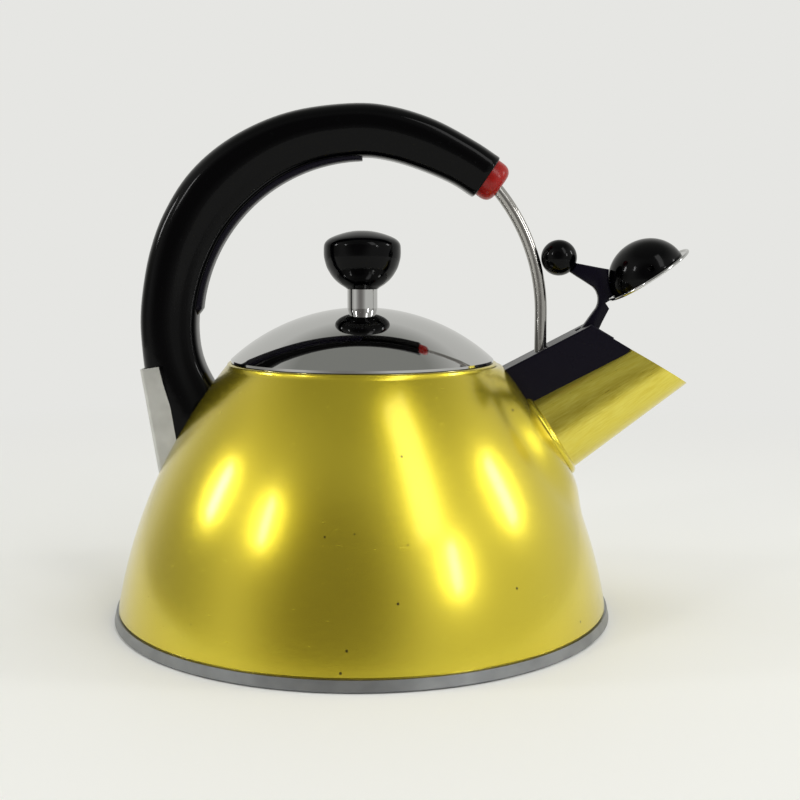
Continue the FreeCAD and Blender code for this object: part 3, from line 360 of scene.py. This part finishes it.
def draw_out_flat(point, sink):
    """Move a point of the dome out to the spout's flat, which is pressed into the shell."""
    spot = point / MM
    depth = FLAT_OUT - sink - spot.dot(OUT_OF_FLAT)
    across = spot - OUT_OF_FLAT * FLAT_OUT - UP_FLAT * FLAT_MIDDLE
    across -= OUT_OF_FLAT * across.dot(OUT_OF_FLAT)
    if spot.dot(OUT_OF_FLAT) < 40 or depth < 0:
        return point
    share = 1 - ease((across.length - FLAT_EDGE) / (FLAT_FADE - FLAT_EDGE))
    return point + OUT_OF_FLAT * depth * share * MM


def kettle_body():
    """Pressed shell: groove over the base, domed side, rolled rim, ledge and turned-down collar."""
    side = arc((-110.44, -32.33), 219.8, 9.9, 39.8, 72)
    rim = arc((57.2, 108.35), 1.25, 25, 90, 8)
    inner = arc((-110.44, -32.33), 218.8, 39.6, 10.2, 72)
    outside = [(105.2, 4.8), (105.2, 5.3)] + side + rim
    collar = arc((51.0, 108.6), 1.0, 90, 180, 6)
    inside = [(50.0, 103.6), (51.0, 103.6), (51.0, 107.6), (51.6, 108.5), (56.4, 108.5)] + inner
    profile = [(0, 4.8)] + outside + collar + inside + [(104.2, 5.8), (0, 5.8)]
    vertices, faces = lathe(profile, 256)
    first_inside = 1 + len(outside) + len(collar)
    for number, vertex in enumerate(vertices):
        inner_side = number % len(profile) >= first_inside
        if vertex.z > 10 * MM and vertex.z < 107.3 * MM:
            vertices[number] = draw_out_flat(vertex, 1.0 if inner_side else 0.0)
    piece = new_piece("kettle_body", vertices, faces, "yellow_lacquer", "kettle", "body_shell")
    steps, reach, radius = 48, 14.0, 15.0
    middle = OUT_OF_FLAT * FLAT_OUT + UP_FLAT * 22.0
    sideways = Vector((0, 1, 0))
    rings = []
    for lift in (-reach, reach):
        ring = []
        for k in range(steps):
            turn = 2 * math.pi * k / steps
            ring.append((middle + OUT_OF_FLAT * lift + (UP_FLAT * math.cos(turn)
                                                       + sideways * math.sin(turn)) * radius) * MM)
        rings.append(ring)
    carve(piece, *loft(rings))
    return piece


# ---- handle --------------------------------------------------------------------------------

# Pairs of points of the middle plane in millimetres, from the front end down to the foot: the
# handle's back and the underside facing it.
HANDLE_PAIRS = [
    ((58.2, 196.8), (46.9, 180.4)), ((48.0, 203.4), (38.2, 185.8)), ((31.2, 212.2), (25.0, 191.4)),
    ((13.9, 217.6), (11.6, 195.4)), ((-2.4, 219.2), (-1.0, 196.7)), ((-25.0, 216.8), (-18.6, 194.2)),
    ((-43.5, 211.0), (-33.8, 187.8)), ((-60.8, 201.3), (-46.6, 178.3)), ((-74.6, 188.6), (-57.2, 166.6)),
    ((-84.8, 172.6), (-64.6, 153.4)), ((-90.8, 157.0), (-69.0, 140.6)), ((-94.2, 141.0), (-71.0, 129.2)),
    ((-95.6, 126.8), (-71.0, 119.0)), ((-94.9, 112.0), (-69.3, 110.2)), ((-93.6, 101.0), (-65.6, 102.0)),
    ((-91.3, 88.0), (-60.0, 93.0)), ((-88.0, 66.0), (-54.0, 84.0)),
]
# Half the handle's width in millimetres, from its back (0) to its underside (1): a full bar with a
# shallow valley where the thinner inner flange begins.
HANDLE_SECTION = [(0.0, 0.0), (0.004, 2.6), (0.022, 5.2), (0.06, 7.6), (0.12, 9.6), (0.2, 10.9),
                  (0.31, 11.5), (0.44, 11.5), (0.55, 11.2), (0.63, 10.5), (0.69, 9.8), (0.76, 9.3),
                  (0.84, 9.0), (0.91, 8.4), (0.96, 7.3), (0.99, 5.6), (1.0, 3.6), (1.0, 0.0)]


def across_handle(back, under, section, squeeze=1.0):
    """A closed ring through one place of the handle, from its back round its underside."""
    depth = under - back
    middle = back + depth * 0.5
    half = [(u, w) for u, w in section]
    ring = [back + depth * u + Vector((0, -w, 0)) for u, w in half]
    ring += [back + depth * u + Vector((0, w, 0)) for u, w in half[-2:0:-1]]
    return [(middle + (p - middle) * squeeze) * MM for p in ring]


def handle():
    """Moulded phenolic grip, from the red cap over the lid and down beside its steel bracket."""
    back = spline([Vector((x, 0, z)) for (x, z), _ in HANDLE_PAIRS], 6)
    under = spline([Vector((x, 0, z)) for _, (x, z) in HANDLE_PAIRS], 6)
    rings = [across_handle(b, u, HANDLE_SECTION) for b, u in zip(back, under)]
    lip = (back[0] - back[1]).normalized()
    for out, squeeze in ((0.35, 0.985), (0.6, 0.95), (0.65, 0.9)):
        rings.insert(0, across_handle(back[0] + lip * out, under[0] + lip * out, HANDLE_SECTION, squeeze))
    piece = new_piece("handle_grip_moulding", *loft(rings), "black_moulding", "kettle", "handle_grip")
    body_line = arc((-110.44, -32.33), 219.82, 9.9, 39.8, 60)
    carve(piece, *lathe([(0, 4.8), (105.2, 4.8)] + body_line + [(56.0, 109.0), (0, 109.0)], 128))
    return piece


def grip_insert():
    """Softer strip let into the handle's underside, pointed at its lower end."""
    section = [(0.0, 0.0), (0.0, 4.6), (0.2, 5.6), (0.55, 5.9), (0.82, 5.6), (0.96, 4.6), (1.0, 3.0),
               (1.0, 0.0)]
    centre, outer, inner = Vector((2.0, 0, 123.9)), 76.5, 71.3
    rings = []
    steps = 72
    for step in range(steps + 1):
        turn = math.radians(2.0 + (88.5 - 2.0) * step / steps)
        ray = Vector((-math.cos(turn), 0, math.sin(turn)))
        taper = min(1.0, 0.25 + step / 5)
        close = min(1.0, 0.6 + (steps - step) / 3)
        tip = outer - (outer - inner) * taper
        ring = across_handle(centre + ray * outer, centre + ray * tip, [(u, w * min(taper, close)) for u, w in section])
        rings.append(ring)
    return new_piece("grip_insert_strip", *loft(rings), "black_moulding_satin", "kettle", "grip_insert")


# ---- knob and whistle ----------------------------------------------------------------------

def lid_knob():
    """Moulded knob: shallow crown, rounded shoulder and a belly that draws in to its ferrule."""
    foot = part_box("lid_knob")[0].z / MM
    rise = [(6.6, 0.0), (7.5, 0.7), (9.4, 1.9), (11.0, 3.2), (12.3, 4.5), (13.4, 5.9), (14.2, 7.2),
            (14.95, 8.5), (15.5, 9.8), (15.9, 11.1), (16.25, 12.4), (16.5, 13.8), (16.6, 15.2),
            (16.6, 16.6), (16.55, 17.9), (16.35, 19.1), (15.7, 20.3), (14.2, 21.6), (11.4, 22.9),
            (7.4, 24.15), (3.6, 24.85), (1.4, 24.98)]
    side = spline([Vector((r, 0, z)) for r, z in rise], 4)
    profile = [(0, foot), (6.2, foot)] + [(p.x, foot + p.z) for p in side] + [(0, foot + 25.0)]
    return new_piece("lid_knob_moulding", *lathe(profile), "black_moulding", "lid", "lid_knob")


PIVOT = Vector((96.004, 0, 120.904))
OPEN_TILT = math.radians(33.6)
PLATE_REACH, PLATE_LIFT = 37.2, 5.97   # middle of the whistle's plate from its hinge


def with_whistle(vertices, lift):
    """Turn a form about Z into the open whistle's plate, lift above its underside."""
    lean = Matrix.Rotation(-OPEN_TILT, 4, "Y")
    spot = PIVOT + lean @ Vector((PLATE_REACH, 0, PLATE_LIFT + lift))
    return [lean @ v + spot * MM for v in vertices]


def whistle_cover():
    """Moulded cover over the whistle: a low dome with two steam vents."""
    radius, height, wall, steps = 16.9, 15.7, 1.6, 40
    turns = [math.pi / 2 * k / steps for k in range(steps + 1)]
    outside = [(radius * math.cos(a), height * math.sin(a)) for a in turns]
    inside = [((radius - wall) * math.cos(a), (height - wall) * math.sin(a)) for a in turns[::-1]]
    profile = outside[:-1] + [(0, height), (0, height - wall)] + inside[1:]
    vertices, faces = lathe(profile, 128)
    vertices = [v - Vector((0.6, 0, 0)) * MM for v in vertices]
    piece = new_piece("whistle_cover_dome", with_whistle(vertices, 0.8), faces, "black_moulding", "whistle",
                      "whistle_cover")
    lean = Matrix.Rotation(-OPEN_TILT, 4, "Y")
    vent = PIVOT + lean @ Vector((PLATE_REACH, 0, PLATE_LIFT + 4.4))
    rings = [[(vent + Vector((1.3 * math.cos(2 * math.pi * k / 24), y, 1.3 * math.sin(2 * math.pi * k / 24)))) * MM
              for k in range(24)] for y in (-20, 20)]
    carve(piece, *loft(rings))
    return piece


def whistle_plate():
    """Stamped plate that closes the spout: thin, with a small rolled edge and a steam hole."""
    edge = arc((19.15, 0.65), 0.65, -90, 180, 14)
    profile = [(5.0, 0.0)] + edge + [(18.5, 0.8), (5.0, 0.8)]
    vertices, faces = lathe(profile, 160)
    return new_piece("whistle_plate_disc", with_whistle(vertices, 0.0), faces, "mirror_steel", "whistle",
                     "whistle_plate")


# Side of the lever beyond its boss in millimetres, from the stem's left edge round the fork, the
# ball's seat, the arm's top, the cover's seat and back down the stem.
LEVER_SIDE = [
    (94.6, 123.9), (96.9, 127.1), (99.0, 130.1), (101.0, 132.9), (101.4, 133.9), (101.7, 134.9),
    (101.8, 136.0), (101.8, 137.1), (101.6, 138.2), (101.2, 139.2), (100.8, 140.2), (100.1, 141.1),
    (99.4, 141.9), (96.0, 144.1), (92.6, 146.2), (89.3, 148.3), (90.1, 149.0), (90.8, 149.8),
    (91.3, 150.6), (92.0, 152.1), (96.7, 151.2), (101.4, 150.3), (106.0, 149.5), (105.9, 147.9),
    (105.9, 146.4), (106.1, 144.0), (106.5, 142.5), (106.9, 141.1), (107.5, 139.6), (108.3, 138.3),
    (106.3, 136.9), (106.8, 136.2), (104.9, 135.0), (106.5, 132.6), (105.1, 129.8), (103.7, 127.0),
    (102.4, 124.1), (100.8, 122.3)]


def whistle_lever():
    """Moulded lever with softened edges, so that a thin line of light runs along them."""
    side = [Vector((x, 0, z)) for x, z in arc((96.004, 120.904), 3.3, -10, -245, 30) + LEVER_SIDE]
    count = len(side)
    inward = []
    for k in range(count):
        run = (side[(k + 1) % count] - side[k - 1]).normalized()
        inward.append(Vector((run.z, 0, -run.x)))
    rings = []
    for across, inset in ((-2.2, 0.55), (-2.1, 0.28), (-1.9, 0.1), (-1.6, 0.0), (1.6, 0.0), (1.9, 0.1),
                          (2.1, 0.28), (2.2, 0.55)):
        rings.append([(p + n * inset + Vector((0, across, 0))) * MM for p, n in zip(side, inward)])
    piece = new_piece("whistle_lever_arm", *loft(rings), SLOT_OF["whistle_lever"], "whistle", "whistle_lever")
    bore = [[(PIVOT + Vector((1.56 * math.cos(2 * math.pi * k / 40), y, 1.56 * math.sin(2 * math.pi * k / 40))))
             * MM for k in range(40)] for y in (-5, 5)]
    carve(piece, *loft(bore))
    return piece


def end_cap():
    """Red moulded ring that closes the handle's end: straight side, rounded shoulder, flat end."""
    side = [(8.35, 0.0), (8.65, 0.3), (8.7, 0.9), (8.7, 3.2), (8.6, 4.3), (8.3, 5.4), (7.7, 6.4),
            (6.8, 7.2), (5.7, 7.7), (4.6, 7.9)]
    line = spline([Vector((r, 0, z)) for r, z in side], 3)
    vertices, faces = lathe([(2.7, 0.0)] + [(min(p.x, 8.7), min(p.z, 7.9)) for p in line] + [(2.7, 7.9)], 96)
    lean = Matrix.Rotation(math.radians(126), 4, "Y")
    vertices = [lean @ v + Vector((52.69, 0, 188.89)) * MM for v in vertices]
    return new_piece("red_end_cap", vertices, faces, "red_plastic", "kettle", "end_cap")


kettle_body()
whistle_lever()
end_cap()
handle()
grip_insert()
lid_knob()
whistle_cover()
whistle_plate()


# ---- studio --------------------------------------------------------------------------------

WALL = "#E6E6E3"
DIM_SIDE = (-0.2, -0.93, 0.3)   # middle of the room's dim side


def pale_floor():
    """Plain pale floor: it keeps the kettle's shadow, and far away it is the colour of the wall."""
    radius, steps = 0.9, 96
    edge = [(radius * math.cos(2 * math.pi * k / steps), radius * math.sin(2 * math.pi * k / steps), 0)
            for k in range(steps)]
    mesh = bpy.data.meshes.new("studio_floor")
    mesh.from_pydata(edge, [], [list(range(steps))])
    floor = bpy.data.objects.new("studio_floor", mesh)
    bpy.context.scene.collection.objects.link(floor)
    material, tree, shader = new_material("pale_floor_laminate", Roughness=0.6,
                                          Base_Color=linear("#F8F8F5"), Specular_IOR_Level=0.2)
    glow = add(tree, "Emission", {"Color": linear(WALL), "Strength": 1.0})
    rays = add(tree, "LightPath")
    place = add(tree, "TexCoord")
    away = add(tree, "VectorMath", {0: place.outputs["Object"]}, operation="LENGTH")
    far = span(tree, away.outputs["Value"], 0, 1, 0.22, 0.75)
    seen = add(tree, "Math", {0: rays.outputs["Is Camera Ray"], 1: far}, operation="MULTIPLY")
    mix = add(tree, "MixShader", {0: seen.outputs["Value"], 1: shader.outputs["BSDF"],
                                  2: glow.outputs["Emission"]})
    tree.links.new(mix.outputs["Shader"], tree.nodes["Material Output"].inputs["Surface"])
    mesh.materials.append(material)


def soft_light(name, place, aim, size, power, mirrored=True, shade="#FFFFFF"):
    """A rectangular soft box that faces aim."""
    lamp = bpy.data.lights.new(name, "AREA")
    lamp.shape = "RECTANGLE"
    lamp.size, lamp.size_y = size
    lamp.energy = power
    lamp.color = linear(shade)[:3]
    item = bpy.data.objects.new(name, lamp)
    item.location = place
    item.rotation_euler = (Vector(aim) - Vector(place)).to_track_quat("-Z", "Y").to_euler()
    item.visible_glossy = mirrored
    bpy.context.scene.collection.objects.link(item)
    return item


def room_light():
    """Pale walls and ceiling with a dim side in front, as in a room lit from its sides and above."""
    world = bpy.data.worlds.new("pale_room")
    bpy.context.scene.world = world
    world.use_nodes = True
    tree = world.node_tree
    ambient = tree.nodes["Background"]
    way = add(tree, "TexCoord")
    facing = add(tree, "VectorMath", {0: way.outputs["Generated"], 1: DIM_SIDE}, operation="DOT_PRODUCT")
    bright = span(tree, facing.outputs["Value"], 1, 0, 0.72, 0.95)
    walls = blend_colours(tree, bright, linear("#7C7976"), linear("#E0E0DC"))
    beside = add(tree, "VectorMath", {0: way.outputs["Generated"], 1: (-0.97, 0.15, 0.1)},
                 operation="DOT_PRODUCT")
    walls = blend_colours(tree, span(tree, beside.outputs["Value"], 0, 1, 0.82, 0.97), walls,
                          linear("#A3A29C"))
    height = add(tree, "SeparateXYZ", {0: way.outputs["Generated"]})
    above = span(tree, height.outputs["Z"], 0, 1, 0.62, 0.86)
    room = blend_colours(tree, above, walls, linear("#9A9B96"))
    tree.links.new(room, ambient.inputs["Color"])
    ambient.inputs["Strength"].default_value = 0.9
    seen = add(tree, "Background", {"Color": linear(WALL), "Strength": 1.0})
    rays = add(tree, "LightPath")
    straight = add(tree, "Math", {0: rays.outputs["Is Camera Ray"],
                                  1: rays.outputs["Is Transmission Ray"]}, operation="MAXIMUM")
    mix = add(tree, "MixShader", {0: straight.outputs["Value"], 1: ambient.outputs["Background"],
                                  2: seen.outputs["Background"]})
    tree.links.new(mix.outputs["Shader"], tree.nodes["World Output"].inputs["Surface"])


def camera():
    """A short telephoto at the height of the kettle's knob, looking slightly down."""
    lens = bpy.data.cameras.new("kettle_camera")
    lens.lens = 54.01
    lens.sensor_width = 36.0
    item = bpy.data.objects.new("kettle_camera", lens)
    item.location = (15.90 * MM, -520.16 * MM, 157.82 * MM)
    item.rotation_euler = Euler((math.radians(90 - 7.152), math.radians(-0.097), math.radians(-0.033)))
    bpy.context.scene.collection.objects.link(item)
    bpy.context.scene.camera = item


pale_floor()
for name, turn, lift, size, power in (
        ("left_window", -87, 26, (0.16, 0.36), 3.4), ("left_lamp", -52, 30, (0.11, 0.34), 2.4),
        ("right_lamp", 47, 21, (0.14, 0.36), 2.6), ("right_window", 88, 27, (0.2, 0.46), 3.8),
        ("tall_blind", 38, 47, (0.42, 1.2), 4.4)):
    away = Vector((math.sin(math.radians(turn)) * math.cos(math.radians(lift)),
                   -math.cos(math.radians(turn)) * math.cos(math.radians(lift)),
                   math.sin(math.radians(lift)))) * 1.9
    soft_light(name, away, (0, 0, 0.08), size, power)
soft_light("ceiling_left", (-0.75, 0.0, 2.1), (0, 0, 0), (1.3, 2.0), 7, False)
soft_light("ceiling_right", (0.8, 0.1, 2.1), (0, 0, 0), (1.3, 2.0), 9, False)
room_light()
camera()
bpy.context.scene.view_settings.view_transform = "Standard"
